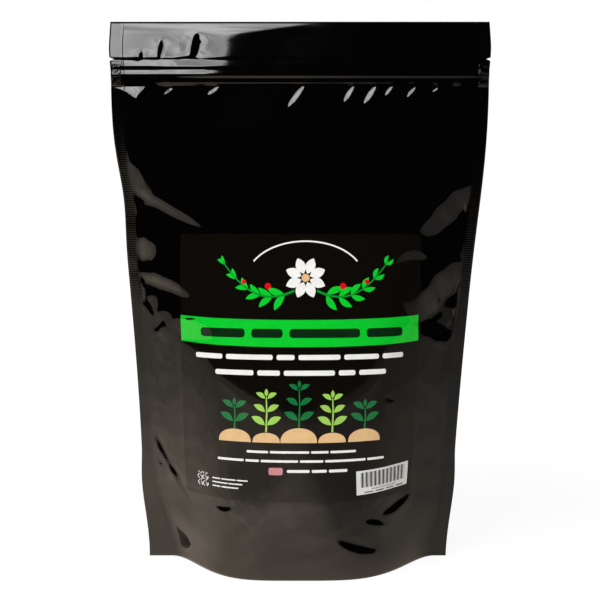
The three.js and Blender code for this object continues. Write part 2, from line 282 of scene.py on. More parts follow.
# Creases of the front film: from and to in film distance and height, then width, depth, how far the film
# takes to settle beside it, and its bend. A negative depth turns the crease's face up instead of down. A
# film distance runs along the film from its centre line to the right, so creases and print keep their
# places as the film bulges.
CREASES = (
    ((-142, 304), (-119, 271), 13, 4.2, 12, 0),
    ((-139, 282), (-65, 247), 7, 2.4, 14, 1),
    ((-138, 233), (-112, 233), 17, 5.0, 12, 0),
    ((-140, 214), (-82, 199), 8, 2.7, 12, -3),
    ((-126, 196), (-119, 182), 4, -1.2, 6, 0),
    ((-117, 171), (-109, 181), 4, -1.4, 6, 1),
    ((134, 280), (90, 242), 19, 5.8, 12, 0),
    ((68, 223), (98, 226), 7, 2.0, 12, -5),
    ((-99, 179), (-57, 172), 15, 1.2, 4, 0),
    ((132, 222), (84, 182), 25, 7.0, 14, 0),
    ((92, 178), (126, 166), 12, -3.0, 8, 0),
    ((-125, 94), (-110, 75), 4.2, -1.5, 5, 0.8),
    ((-113, 79), (-102, 64), 3.0, -1.1, 4, 0),
    ((-106, 72), (-99, 56), 4.4, -1.5, 4, -0.9),
    ((-100, 61), (-88, 45), 2.0, -0.8, 4, 0.6),
    ((-123, 74), (-116, 70), 2.4, -1.0, 4, 0),
    ((-65, 50.5), (-48, 50.2), 3.5, -1.2, 6, 2),
    ((60, 42), (95, 55), 6.5, -2.3, 7, 2.2),
    ((49, 41), (72, 33), 4.6, -1.7, 6, -1),
    ((62, 127), (70, 124), 2.4, -0.8, 3, 0.4),
    ((28, 29), (63, 18), 5, -1.7, 8, 2.5),
    ((-117, 371), (-116.5, 380), 3, 0.6, 3, 0),
    ((-104, 372), (-102, 389), 3.0, 0.7, 5, 0.9),
    ((-101, 373), (-101.8, 382), 2.0, 0.3, 3, 0),
    ((-79.5, 373), (-76.5, 393), 5.2, 1.2, 6, 1.1),
    ((-75.5, 373), (-74.5, 385), 2.4, 0.4, 3, -0.8),
    ((-86, 377), (-84.5, 391), 5.0, 0.25, 6, 0),
    ((-92, 373.2), (-79, 374.6), 1.6, 0.35, 2, 0),
    ((-73, 384), (-72, 388), 1.5, 0.3, 3, 0),
    ((-102.5, 345.5), (-94, 354), 3.4, -1.9, 4, 0),
    ((-68, 346.5), (-61, 354), 2.6, -1.3, 4, 0),
    ((-9.5, 337.5), (3.5, 355), 3, -1.2, 4, 0),
    ((31.5, 341), (40.5, 355), 3, -1.4, 4, 0),
    ((46, 339.5), (57, 355), 4, -1.8, 4, 0),
    ((61, 345), (69.5, 355), 2.6, -1.3, 4, 0),
    ((77.5, 343.5), (86.5, 355), 3, -1.6, 4, 0),
    ((96.5, 347.5), (103.5, 354.5), 2.5, -1.4, 3, 0),
    ((112.5, 347.5), (119.5, 354.5), 2.5, -1.4, 3, 0),
)
# A crease's edges wander by this share of the width that it has over the second value.
CREASE_WANDER, WANDER_WIDTH = 0.1, 4
FRONT_SEED, REAR_SEED = 11, 23
# Swells between creases: height, shortest and longest; how many waves; and where they calm down.
SWELLS, WAVE_COUNT = (0.28, 30, 90), 30
SWELL_TOP, SWELL_TOP_OVER, SWELL_FOOT_OVER = 350, 40, 12
CALM_SHARE, CALM_TO, CALM_OVER = 0.4, 60, 90
# All of it fades out towards the side seals: where it ends, on them, and over how far.
SEAL_FLAT, SEAL_FLAT_OVER = 0.5, 5
# The rear film's creases, in the same measures.
REAR_CREASES = (
    ((140, 302), (114, 268), 12, 4.0, 12, 0),
    ((138, 238), (100, 214), 15, 4.6, 12, 1),
    ((136, 196), (112, 192), 10, 3.0, 10, 0),
    ((-138, 276), (-92, 240), 14, 4.4, 12, 0),
    ((-134, 222), (-96, 190), 22, 5.5, 14, 0),
    ((-96, 168), (-126, 158), 10, -2.6, 8, 0),
    ((118, 84), (88, 42), 2.5, -0.9, 8, 2),
    ((-64, 34), (-26, 24), 4.5, -1.5, 8, 2),
    ((30, 46), (58, 38), 3.5, -1.2, 6, 1),
    ((-44, 342), (-38, 355), 3, -1.0, 4, 0),
    ((22, 345), (28, 355), 3, -0.9, 4, 0),
    ((74, 341), (81, 355), 3.4, -1.1, 4, 0),
)
# Under the zip's left end the side seal is pushed forward, so its upper face looks up at the softbox. That
# face drops by PUSH_LEAST at least.
SEAL_PUSH = ((-138, 0.5), (-132, 1.6), (-121, 5.2), (-113, 0))
PUSH_LOW, PUSH_BEND, PUSH_BEND_SHARE, PUSH_HIGH, PUSH_FACE = 252.0, 304.0, 0.78, 354.0, 25.5
PUSH_LEAST = 0.01
# The belly swells a little between the floor and the label's middle, which lifts the mirrored horizon.
BELLY_SWELL, BELLY_HEIGHT, BELLY_REACH, BELLY_INNER, BELLY_OUTER = 2.6, 155.0, 55.0, 60.0, 120.0


def ease(t):
    """Nought to one with level ends."""
    t = np.clip(t, 0, 1)
    return t * t * (3 - 2 * t)


def mix(a, b, t):
    """From a at nought to b at one."""
    return a + (b - a) * t


def fill_depth(height):
    """How far the fill pushes each film out: a rounded heap, then film drawn straight up to the zip."""
    def heap(z):
        return BASE_HALF_DEPTH * max(0, 1 - (z / FILL_TOP) ** FILL_RISE) ** FILL_SHOULDER

    if height <= HEAP_TOP or height >= FILL_TOP:
        return heap(min(height, FILL_TOP))
    slope, bend = heap(HEAP_TOP) - heap(HEAP_TOP + 1), PULLED_STRAIGHT - HEAP_TOP
    steepest = (heap(HEAP_TOP) - slope * bend / 2) / (FILL_TOP - HEAP_TOP - bend / 2)
    up, straight = min(height - HEAP_TOP, bend), max(height - PULLED_STRAIGHT, 0)
    return heap(HEAP_TOP) - slope * up - (steepest - slope) * up ** 2 / (2 * bend) - steepest * straight


def half_section(height, fin, along):
    """Half of the film at one height: how far out and how far forward it is at each film distance along.

    The lens from seal to seal is narrowed until its curve uses up just the film there is."""
    above = ease(height / PINCH_HEIGHT)
    crown, edge = mix(BASE_CROWN, LENS_CROWN, above), mix(BASE_EDGE, LENS_EDGE, above)
    free = FILM_WIDTH / 2 - mix(fin, SIDE_SEAL, above)
    t = 1 - (1 - np.linspace(0, 1, SECTION_POINTS)) ** SECTION_CROWDING
    forward = fill_depth(height) * (1 - t ** crown) ** edge
    near, far = 1.0, free
    for _ in range(SECTION_TRIES):
        reach = (near + far) / 2
        if np.hypot(np.diff(t * reach), np.diff(forward)).sum() > free:
            far = reach
        else:
            near = reach
    run = np.concatenate([[0], np.cumsum(np.hypot(np.diff(t * reach), np.diff(forward)))])
    shapes = []
    for ending, crown, edge in (FRONT_SHAPE, FLANK_SHAPE):
        above = ease(height / ending)
        shapes.append((1 - t ** mix(BASE_CROWN, crown, above)) ** mix(BASE_EDGE, edge, above))
    forward = fill_depth(height) * mix(*shapes, ease((t - FLANK_FROM) / FLANK_OVER))
    out = np.where(along <= free, np.interp(along, run, t * reach), reach + along - free)
    return out, np.where(along <= free, np.interp(along, run, forward), 0)


def film_shape(heights, stations):
    """The smooth film before its creases, rows by stations: x, and how far it is off the seal plane."""
    x, off = (np.zeros((len(heights), len(stations))) for _ in range(2))
    left = stations < 0
    for row, height in enumerate(heights):
        x[row, left], off[row, left] = half_section(height, FIN_LEFT, -stations[left])
        x[row, ~left], off[row, ~left] = half_section(height, FIN_RIGHT, stations[~left])
    x[:, left] *= -1
    z = heights[:, None]
    x -= FOOT_SHIFT * np.maximum(0, 1 - z / FOOT_SHIFT_HEIGHT) ** 2
    x += PULL_DEPTH * np.exp(-((z - PULL_HEIGHT) / PULL_REACH) ** 2) * ease((-x - PULL_FROM) / PULL_OVER)
    x *= 1 + HEADER_FLARE * ease((z - FILL_TOP) / FLARE_OVER)
    return x, off


def risen(z):
    """Heights on the film as they stand: the header stands a little taller, as it looks in front view."""
    return z + HEADER_RISE * ease((z - RISE_FROM) / RISE_OVER)


def lean(z):
    """How far back the zip and header stand at each height."""
    fine = np.linspace(LEAN_FROM, POUCH_HEIGHT, LEAN_POINTS)
    slope = np.tan(np.radians(np.interp(fine, *zip(*LEANS))))
    back = np.concatenate([[0], np.cumsum((slope[1:] + slope[:-1]) / 2 * np.diff(risen(fine)))])
    return np.interp(z, fine, back)


def seal_push(s, z):
    """How far forward the left side seal and the film beside it are pushed under the zip."""
    amount = np.interp(s, *zip(*SEAL_PUSH))
    peak = PUSH_HIGH - amount / tan(radians(PUSH_FACE)) - PUSH_LEAST
    rise = mix(PUSH_BEND_SHARE * ease((z - PUSH_LOW) / (PUSH_BEND - PUSH_LOW)), 1,
               np.clip((z - PUSH_BEND) / (peak - PUSH_BEND), 0, 1))
    return amount * rise * np.clip((PUSH_HIGH - z) / (PUSH_HIGH - peak), 0, 1)


def crease(s, z, start, end, width, depth, settle, bend):
    """A crease along a line on the film: the film steps in by depth over its width, and settles beside it.

    It runs to a point at both ends, and its edges wander a little."""
    line = np.subtract(end, start)
    half = hypot(*line) / 2
    line = line / (2 * half)
    if line[0] < 0:
        line = -line
    ds, dz = s - (start[0] + end[0]) / 2, z - (start[1] + end[1]) / 2
    run = (ds * line[0] + dz * line[1]) / half
    taper = np.maximum(0, 1 - run ** 2)
    wander = CREASE_WANDER * max(0, width - WANDER_WIDTH)
    wander = wander * np.sin(7 * run + start[0]) * np.sin(3 * run + start[1])
    down = ds * line[1] - dz * line[0] - bend * taper + wander * taper
    half_width = width / 2 * np.maximum(0.05, taper) ** 0.5
    step = down / half_width
    step = step / (1 + np.abs(step) ** 6) ** (1 / 6)
    return -depth / 2 * step * np.exp(-np.maximum(0, np.abs(down) - half_width) / settle) * taper


def waviness(s, z, seed, height, shortest, longest):
    """Soft swells of a filled film: crossing waves between two lengths, drawn in a seeded order."""
    dice = np.random.default_rng(seed)
    total = np.zeros(np.shape(s))
    for _ in range(WAVE_COUNT):
        length, way, start = dice.uniform(shortest, longest), dice.uniform(0, pi), dice.uniform(0, 2 * pi)
        total += (length / longest) ** 1.5 * np.sin(2 * pi / length * (s * cos(way) + z * sin(way)) + start)
    return height * total / WAVE_COUNT ** 0.5


def relief(s, z, creases=CREASES, seed=FRONT_SEED):
    """How far a film stands out of its smooth shape."""
    total = waviness(s, z, seed, *SWELLS) * ease((SWELL_TOP - z) / SWELL_TOP_OVER) * ease(z / SWELL_FOOT_OVER)
    total = total * mix(CALM_SHARE, 1, ease((z - CALM_TO) / CALM_OVER))
    total = total + BELLY_SWELL * np.exp(-((z - BELLY_HEIGHT) / BELLY_REACH) ** 2) * ease(
        (BELLY_OUTER - np.abs(s)) / (BELLY_OUTER - BELLY_INNER))
    for values in creases:
        total = total + crease(s, z, *values)
    return total * ease((FILM_WIDTH / 2 - SIDE_SEAL + SEAL_FLAT - np.abs(s)) / SEAL_FLAT_OVER)


def outward(shape):
    """Unit normals of a grid of points, rows going up and stations to the right, facing the camera side."""
    normal = np.cross(np.gradient(shape, axis=1), np.gradient(shape, axis=0))
    return normal / np.linalg.norm(normal, axis=-1, keepdims=True)


heights = np.concatenate([np.linspace(*span) for span in ROW_SPANS])
stations = np.linspace(-FILM_WIDTH / 2, FILM_WIDTH / 2, FILM_STATIONS + 1)
x, off = film_shape(heights, stations)
S, Z = np.meshgrid(stations, heights)
front = np.stack([x, -FILM_PAIR / 2 - off, Z], -1)
front += outward(front) * relief(S, Z)[..., None]
steps = 0
for heights_out, share in (TAPE_STEP, PROFILE_STEP):
    share = mix(np.interp(S, *zip(*share)), 1, ease((Z - STEPS_EVEN_FROM) / STEPS_EVEN_OVER))
    steps = steps + np.interp(Z, *zip(*heights_out)) * share
front[..., 1] += lean(Z) - steps - seal_push(S, Z)
rear = np.stack([x, FILM_PAIR / 2 + off, Z], -1)
rear -= outward(rear) * relief(S, Z, REAR_CREASES, REAR_SEED)[..., None]
rear[..., 1] += lean(Z) + steps - seal_push(S, Z)
front[..., 2], rear[..., 2] = risen(front[..., 2]), risen(rear[..., 2])

# Tear notches: a small vee in each edge just over the zip, made by drawing the seal's outer strip in.
vee = NOTCH_DEPTH * np.maximum(0, 1 - np.abs(Z - NOTCH_HEIGHT) / NOTCH_HALF)
vee = vee * ease((np.abs(S) - NOTCH_FROM) / NOTCH_OVER)
front[..., 0] -= np.sign(S) * vee
rear[..., 0] -= np.sign(S) * vee

# Foot: the two films end in a thin skirt on the floor, and between them the gusset's panel sags a little
# short of it. Each row runs from the front film's edge to the rear film's.
inner = []
half_gap = FILM_PAIR / 2 + off[0]
rise = SKIRT_HEIGHT * ease(off[0] / SKIRT_OPENS)
for share, up in GUSSET_PROFILE:
    sag = rise * up
    if up > 1:
        swells = waviness(stations, GUSSET_STATION * share, GUSSET_SEED, *GUSSET_SWELLS)
        sag = sag + swells * ease(off[0] / GUSSET_OPENS)
    inner.append(np.stack([mix(x[0], x[0] * GUSSET_INSET, up > 0), share * half_gap, np.maximum(0, sag)], -1))

# The shell's faces: rings round both films, the closed top edge, and strips across the foot with a small
# cap at either end. All face outwards.
rows, columns = Z.shape
points = np.concatenate([front, rear[:, ::-1]], 1).reshape(-1, 3)
across = 2 * columns
ring = np.arange(across)
quads = []
for row in range(rows - 1):
    a = row * across + ring
    b = row * across + (ring + 1) % across
    quads.append(np.stack([a, b, b + across, a + across], -1))
top = (rows - 1) * across
one = np.arange(columns - 1)
quads.append(np.stack([top + one, top + one + 1, top + across - 2 - one, top + across - 1 - one], -1))
strips = [np.arange(columns)]
for strip in inner:
    strips.append(len(points) + np.arange(columns))
    points = np.concatenate([points, strip])
strips.append(across - 1 - np.arange(columns))
for near, far in zip(strips, strips[1:]):
    quads.append(np.stack([far[:-1], far[1:], near[1:], near[:-1]], -1))
end_caps = [[int(strip[0]) for strip in strips[::-1]], [int(strip[-1]) for strip in strips]]
mesh = bpy.data.meshes.new("pouch_film")
mesh.from_pydata((points * MM).tolist(), [], np.concatenate(quads).tolist() + end_caps)
mesh.update()

# Every point carries its film distance, its height on the film and its side, which the material reads.
place = np.zeros((len(points), 3))
film_places = [np.stack([S, Z, np.zeros_like(S)], -1), np.stack([S, Z, np.ones_like(S)], -1)[:, ::-1]]
place[:rows * across] = np.concatenate(film_places, 1).reshape(-1, 3)
mesh.attributes.new("film", "FLOAT_VECTOR", "POINT").data.foreach_set("vector", place.ravel())
pouch = bpy.data.objects.new("pouch_film", mesh)
scene.collection.objects.link(pouch)
mesh.polygons.foreach_set("use_smooth", [True] * len(mesh.polygons))
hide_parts("pouch")
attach(pouch, "root")

# Clear stretched polyester laminated over black polyethylene: a hard gloss that mirrors the studio, with
# faint smudges. The hot jaws left rungs in the seals, both ways in the header, and crushed the zip's ends.
# Compost presses softly through. The rungs, taken as 1.1 mm apart, are drawn at 1.7 so that they show.
RUNG_PITCH, RUNG_HEIGHT = 1.7, 0.007
LUMP_HEIGHT, LUMP_SIZE, LUMP_ROUGH = 0.3, 16.0, 0.25
PEEL_HEIGHT, PEEL_SIZE = 0.005, 5.0
CRUSH_HEIGHT, CRUSH_SIZE = 0.9, 3.0
LINE_HEIGHT = 0.07
SMUDGE_SIZE, SMUDGES, SEAL_DULL = 45.0, (0.42, 0.68, 0.03, 0.075), 0.06
FILM_BLACK, FILM_IOR = "#030202", 1.7
# From and to of each mark: distance from the centre line for the first three, height for the rest.
SEAL_EDGE, LINE_IN, LINE_OUT = (132.0, 132.6), (129.6, 130.4), (130.8, 131.6)
HEADER_EDGE, TAPE_LOW, TAPE_TOP, FILLED = (373.0, 376.0), (353.0, 355.0), (369.0, 367.0), (300.0, 200.0)

film, tree, out = new_material("black glossy laminated film")
spot = node(tree, "ShaderNodeAttribute", attribute_name="film").outputs["Vector"]
spot = node(tree, "ShaderNodeSeparateXYZ", [spot]).outputs
body = node(tree, "ShaderNodeTexCoord").outputs["Object"]
from_middle = node(tree, "ShaderNodeMath", [spot["X"]], operation="ABSOLUTE")
in_seal = node(tree, "ShaderNodeMapRange", [from_middle, *SEAL_EDGE], interpolation_type="SMOOTHSTEP")
in_header = node(tree, "ShaderNodeMapRange", [spot["Y"], *HEADER_EDGE], interpolation_type="SMOOTHSTEP")

up = node(tree, "ShaderNodeMath", [spot["Y"], 2 * pi / RUNG_PITCH], operation="MULTIPLY")
sideways = node(tree, "ShaderNodeMath", [spot["X"], 2 * pi / RUNG_PITCH], operation="MULTIPLY")
rungs = node(tree, "ShaderNodeMath", [up], operation="SINE")
bars = node(tree, "ShaderNodeMath", [sideways], operation="SINE")
weave = node(tree, "ShaderNodeMath", [bars, in_header, rungs], operation="MULTIPLY_ADD")

over_tape = node(tree, "ShaderNodeMapRange", [spot["Y"], *TAPE_LOW], interpolation_type="SMOOTHSTEP")
under_tape_top = node(tree, "ShaderNodeMapRange", [spot["Y"], *TAPE_TOP], interpolation_type="SMOOTHSTEP")
at_zip = node(tree, "ShaderNodeMath", [over_tape, under_tape_top], operation="MULTIPLY")
crushed = node(tree, "ShaderNodeTexNoise", {"Vector": body, "Scale": 1 / (CRUSH_SIZE * MM), "Detail": 3.0})
crushed = node(tree, "ShaderNodeMath", [crushed, CRUSH_HEIGHT], operation="MULTIPLY")
crushed = node(tree, "ShaderNodeMath", [crushed, at_zip], operation="MULTIPLY")
seal_marks = node(tree, "ShaderNodeMath", [weave, RUNG_HEIGHT, crushed], operation="MULTIPLY_ADD")

line_in = node(tree, "ShaderNodeMapRange", [from_middle, *LINE_IN, 0.0, LINE_HEIGHT],
               interpolation_type="SMOOTHSTEP")
line_out = node(tree, "ShaderNodeMapRange", [from_middle, *LINE_OUT, 0.0, LINE_HEIGHT],
                interpolation_type="SMOOTHSTEP")
height = node(tree, "ShaderNodeMath", [line_in, line_out], operation="SUBTRACT")
height = node(tree, "ShaderNodeMath", [seal_marks, in_seal, height], operation="MULTIPLY_ADD")

filled = node(tree, "ShaderNodeMapRange", [spot["Y"], *FILLED, 0.0, LUMP_HEIGHT],
              interpolation_type="SMOOTHSTEP")
lumps = node(tree, "ShaderNodeTexNoise", {"Vector": body, "Scale": 1 / (LUMP_SIZE * MM), "Detail": 1.0,
                                          "Roughness": LUMP_ROUGH})
peel = node(tree, "ShaderNodeTexNoise", {"Vector": body, "Scale": 1 / (PEEL_SIZE * MM), "Detail": 1.0})
height = node(tree, "ShaderNodeMath", [lumps, filled, height], operation="MULTIPLY_ADD")
height = node(tree, "ShaderNodeMath", [peel, PEEL_HEIGHT, height], operation="MULTIPLY_ADD")
bump = node(tree, "ShaderNodeBump", {"Strength": 1.0, "Distance": MM, "Height": height})

smudges = node(tree, "ShaderNodeTexNoise", {"Vector": body, "Scale": 1 / (SMUDGE_SIZE * MM), "Detail": 4.0,
                                            "Roughness": 0.6})
smudges = node(tree, "ShaderNodeMapRange", [smudges, *SMUDGES], interpolation_type="SMOOTHSTEP")
dull = node(tree, "ShaderNodeMath", [in_seal, SEAL_DULL, smudges], operation="MULTIPLY_ADD")
skin = node(tree, "ShaderNodeBsdfPrincipled", {"Base Color": linear(FILM_BLACK), "Roughness": dull,
                                               "IOR": FILM_IOR, "Normal": bump})
tree.links.new(skin.outputs[0], out.inputs["Surface"])
mesh.materials.append(film)


# Front label: one sheet of printed paper, nearly black, under a clear satin laminate. It is stuck on while
# the pouch is flat, so it bulges and creases with the front film.
LABEL_HALF, LABEL_BOTTOM, LABEL_TOP = 90.0, 56.0, 245.0
LABEL_LIFT, LABEL_THICK = 0.35, 0.15
LABEL_COLUMNS, LABEL_ROWS = 121, 127
LABEL_BLACK = "#0d0a07"
# The smooth film is worked out once on a coarse grid, and read between its points.
SHAPE_LOW, SHAPE_HIGH, SHAPE_SIDE, SHAPE_STEP = 40, 262, 104, 4.0
# Laminate: sizes in millimetres of the ink's mottle, of handling marks and of the paper's grain.
MOTTLE_SIZE, MOTTLE = 6.0, (0.3, 0.7, 0.96, 1.04)
HANDLED_SIZE, HANDLED = 30.0, (0.4, 0.7, 0.04, 0.08)
GRAIN_SIZE, GRAIN_HEIGHT = 2.0, 0.008

shape_heights = np.arange(SHAPE_LOW, SHAPE_HIGH, SHAPE_STEP)
shape_stations = np.arange(-SHAPE_SIDE, SHAPE_SIDE + 1, SHAPE_STEP)
shape_x, shape_off = film_shape(shape_heights, shape_stations)
shape_grid = np.stack([shape_x, -FILM_PAIR / 2 - shape_off], -1)


def between(grid, row, column):
    """Smooth cubic reading of a grid at fractional rows and columns."""
    def weights(t):
        return ((-t + 2 * t ** 2 - t ** 3) / 2, (2 - 5 * t ** 2 + 3 * t ** 3) / 2,
                (t + 4 * t ** 2 - 3 * t ** 3) / 2, (-t ** 2 + t ** 3) / 2)

    i, j = np.floor(row).astype(int), np.floor(column).astype(int)
    return sum(u[..., None] * v[..., None] * grid[i + a - 1, j + b - 1]
               for a, u in enumerate(weights(row - i)) for b, v in enumerate(weights(column - j)))


def normals_of(surface, s, z):
    """Unit normals of a surface that gives a point for a film distance and a height."""
    normal = np.cross(surface(s + 0.5, z) - surface(s - 0.5, z), surface(s, z + 0.5) - surface(s, z - 0.5))
    return normal / np.linalg.norm(normal, axis=-1, keepdims=True)


def on_film(s, z, lift):
    """Points at film distance s and height z, lift mm off the creased front film, and their normals."""
    def smooth(s, z):
        row, column = (z - shape_heights[0]) / SHAPE_STEP, (s - shape_stations[0]) / SHAPE_STEP
        flat = between(shape_grid, row, column)
        return np.stack([flat[..., 0], flat[..., 1], z], -1)

    def creased(s, z):
        return smooth(s, z) + normals_of(smooth, s, z) * (relief(s, z) + lift)[..., None]

    s, z = np.asarray(s, float), np.asarray(z, float)
    return creased(s, z), normals_of(creased, s, z)


def film_sheet(name, places, faces, lift, thick, material):
    """A closed thin sheet on the film: places are film distances and heights, faces name them in turn."""
    s, z = np.transpose(places)
    outer, normal = on_film(s, z, lift + thick)
    under = len(outer)
    edges = {(a, b) for face in faces for a, b in zip(face, face[1:] + face[:1])}
    walls = [(b, a, a + under, b + under) for a, b in sorted(edges) if (b, a) not in edges]
    mesh = bpy.data.meshes.new(name)
    mesh.from_pydata((np.concatenate([outer, on_film(s, z, lift)[0]]) * MM).tolist(), [],
                     [*faces, *(tuple(i + under for i in face[::-1]) for face in faces), *walls])
    mesh.update()
    mesh.polygons.foreach_set("use_smooth", [True] * len(mesh.polygons))
    mesh.normals_split_custom_set_from_vertices(np.concatenate([normal, -normal]).tolist())
    mesh.materials.append(material)
    made = bpy.data.objects.new(name, mesh)
    scene.collection.objects.link(made)
    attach(made, "root")
    return made


def film_grid(s, z):
    """Places and faces of a grid, s along its rows."""
    index = np.arange(s.size).reshape(s.shape)
    corners = index[:-1, :-1], index[:-1, 1:], index[1:, 1:], index[1:, :-1]
    faces = [tuple(face) for face in np.stack(corners, -1).reshape(-1, 4).tolist()]
    return np.stack([s.ravel(), z.ravel()], -1), faces


def laminate(name, colour, ior=1.53):
    """Printed paper under clear satin film: the eye gets an even ink with a faint mottle, and over it the
    film's handled gloss."""
    made, tree, out = new_material(name)
    body = node(tree, "ShaderNodeTexCoord").outputs["Object"]
    mottle = node(tree, "ShaderNodeTexNoise", {"Vector": body, "Scale": 1 / (MOTTLE_SIZE * MM),
                                               "Detail": 3.0})
    tone = node(tree, "ShaderNodeMapRange", [mottle, *MOTTLE], interpolation_type="SMOOTHSTEP")
    ink = node(tree, "ShaderNodeVectorMath", [linear(colour)[:3], tone], operation="MULTIPLY")
    handled = node(tree, "ShaderNodeTexNoise", {"Vector": body, "Scale": 1 / (HANDLED_SIZE * MM),
                                                "Detail": 4.0, "Roughness": 0.6})
    dull = node(tree, "ShaderNodeMapRange", [handled, *HANDLED], interpolation_type="SMOOTHSTEP")
    grain = node(tree, "ShaderNodeTexNoise", {"Vector": body, "Scale": 1 / (GRAIN_SIZE * MM), "Detail": 2.0})
    grain = node(tree, "ShaderNodeMath", [grain, GRAIN_HEIGHT], operation="MULTIPLY")
    bump = node(tree, "ShaderNodeBump", {"Strength": 1.0, "Distance": MM, "Height": grain})
    skin = node(tree, "ShaderNodeBsdfPrincipled", {"Base Color": ink, "Roughness": dull, "IOR": ior,
                                                   "Normal": bump})
    tree.links.new(skin.outputs[0], out.inputs["Surface"])
    return made


S, Z = np.meshgrid(np.linspace(-LABEL_HALF, LABEL_HALF, LABEL_COLUMNS),
                   np.linspace(LABEL_BOTTOM, LABEL_TOP, LABEL_ROWS))
label = film_sheet("label_paper", *film_grid(S, Z), LABEL_LIFT, LABEL_THICK,
                   laminate("near-black label ink under satin laminate", LABEL_BLACK))
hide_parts("front_label")


# Print: the label's inks, each a thin closed film laid on the label, so it follows every crease. A green
# band, lines of words as plain bars, and small marks come first, then the garland and the seedlings.
# One ink over another stands a little higher, so the two never share a surface.
INK_LIFT, INK_THICK = LABEL_LIFT + LABEL_THICK + 0.03, 0.02
INK_STEP = 3.0
WORD_OVER, STEM_OVER, BERRY_OVER = INK_THICK + 0.01, 0.03, 0.06
GREEN, STEM_GREEN, LEAF_PALE, LEAF_DARK = "#0cc72e", "#0a8f2a", "#9ccb58", "#15703a"
TAN, RED, ROSE, PRINT_WHITE, WORD_DARK = "#dfb884", "#d0101c", "#c98488", "#ecebe6", "#0c2812"
GREEN_IOR = 1.7


def filled_shapes(outlines):
    """Places and triangles that fill closed outlines of film places, no edge much longer than INK_STEP."""
    places, faces = [], []
    for outline in outlines:
        outline = np.asarray(outline, float)
        rim = []
        for a, b in zip(outline, np.roll(outline, -1, 0)):
            pieces = max(1, round(hypot(*(b - a)) / INK_STEP))
            rim += [tuple(mix(a, b, i / pieces)) for i in range(pieces)]
        low, high = outline.min(0), outline.max(0)
        inside = [(s, z) for s in np.arange(low[0] + INK_STEP / 2, high[0], INK_STEP)
                  for z in np.arange(low[1] + INK_STEP / 2, high[1], INK_STEP)]
        found = delaunay_2d_cdt([Vector(p) for p in rim + inside], [], [list(range(len(rim)))], 1, 1e-4)
        kept = {}
        for face in found[2]:
            (ax, az), (bx, bz), (cx, cz) = (found[0][i] for i in face)
            outwards = face if (bx - ax) * (cz - az) > (cx - ax) * (bz - az) else face[::-1]
            faces.append(tuple(kept.setdefault(i, len(places) + len(kept)) for i in outwards))
        places += [tuple(found[0][i]) for i in kept]
    return places, faces


def inlay(name, outlines, material, over=0.0):
    """A printed piece made of closed outlines, over mm above the first ink."""
    return film_sheet(name, *filled_shapes(outlines), INK_LIFT + over, INK_THICK, material)


def bar(left, right, low, high, corner=0.5):
    """A rounded bar: corner is its rounding as a share of half its height."""
    radius = corner * (high - low) / 2
    outline = []
    for cs, cz, start in ((right - radius, low + radius, -90), (right - radius, high - radius, 0),
                          (left + radius, high - radius, 90), (left + radius, low + radius, 180)):
        outline += [(cs + radius * cos(radians(start + turn)), cz + radius * sin(radians(start + turn)))
                    for turn in (0, 30, 60, 90)]
    return outline


def words(left, right, middle, tall, lengths):
    """A line of bars that stand for words, of lengths in letters, between two film distances."""
    gap = 0.75 * tall
    letter = (right - left - gap * (len(lengths) - 1)) / sum(lengths)
    line, at = [], left
    for count in lengths:
        line.append(bar(at, at + count * letter, middle - tall / 2, middle + tall / 2, 0.7))
        at += count * letter + gap
    return line


def leaf(base, tip, width, bow=0.0):
    """An almond leaf from base to tip, its middle pushed bow mm to the left."""
    base, tip = np.asarray(base, float), np.asarray(tip, float)
    along = np.linspace(0, 1, 11)[:, None]
    way = (tip - base) / hypot(*(tip - base))
    side = np.array([-way[1], way[0]])
    middle = base + (tip - base) * along + side * 4 * bow * along * (1 - along)
    half = side * width / 2 * np.sin(pi * along) ** 0.85
    return [*(middle - half), *(middle + half)[-2:0:-1]]


def stroke(points, wide, narrow):
    """A line that thins from wide to narrow along its points."""
    points = np.asarray(points, float)
    way = np.gradient(points, axis=0)
    way /= np.linalg.norm(way, axis=1, keepdims=True)
    half = np.stack([-way[:, 1], way[:, 0]], -1) * np.linspace(wide, narrow, len(points))[:, None] / 2
    return [*(points - half), *(points + half)[::-1]]


def disc(middle, radius, sides=18):
    """A round dot."""
    return [(middle[0] + radius * cos(2 * pi * i / sides), middle[1] + radius * sin(2 * pi * i / sides))
            for i in range(sides)]


white_ink = laminate("white label ink under satin laminate", PRINT_WHITE)
green_ink = laminate("leaf-green label ink under satin laminate", GREEN, ior=GREEN_IOR)

# The band's lower and upper edge at the middle, and how much each climbs to the sides.
BAND_LOW, BAND_LOW_CLIMB, BAND_HIGH, BAND_HIGH_CLIMB, BAND_MARGIN = 165.2, 1.8, 184.3, 1.5, 0.1
edge = np.linspace(-LABEL_HALF + BAND_MARGIN, LABEL_HALF - BAND_MARGIN, 61)
lower = BAND_LOW + BAND_LOW_CLIMB * (edge / LABEL_HALF) ** 2
upper = BAND_HIGH + BAND_HIGH_CLIMB * (edge[::-1] / LABEL_HALF) ** 2
inlay("print_band", [[*zip(edge, lower), *zip(edge[::-1], upper)]], green_ink)
inlay("print_band_words", words(-72, 75, 174.8, 6.4, (6, 4, 9, 5)),
      laminate("dark word ink over the green band", WORD_DARK), WORD_OVER)

# Each line of words: left and right end, height of its middle, height of its letters, letters in each word.
WORD_LINES = (
    (-76, 76, 158, 3.6, (5, 8, 3, 7, 6, 4)),
    (-60, 62, 147, 3.6, (7, 4, 9, 3, 5)),
    (-37, 41, 91.4, 1.7, (5, 9, 4, 6)),
    (-59, 63, 85, 1.7, (6, 3, 8, 5, 9, 4)),
    (-8, 35, 78, 2.0, (6, 4, 5)),
    (-64, -36, 70.2, 0.9, (4, 7, 5)),
    (-64, -40, 67.4, 0.9, (6, 5)),
    (-64, -43, 64.6, 0.9, (3, 6)),
)
inlay("print_words", [word for values in WORD_LINES for word in words(*values)], white_ink)

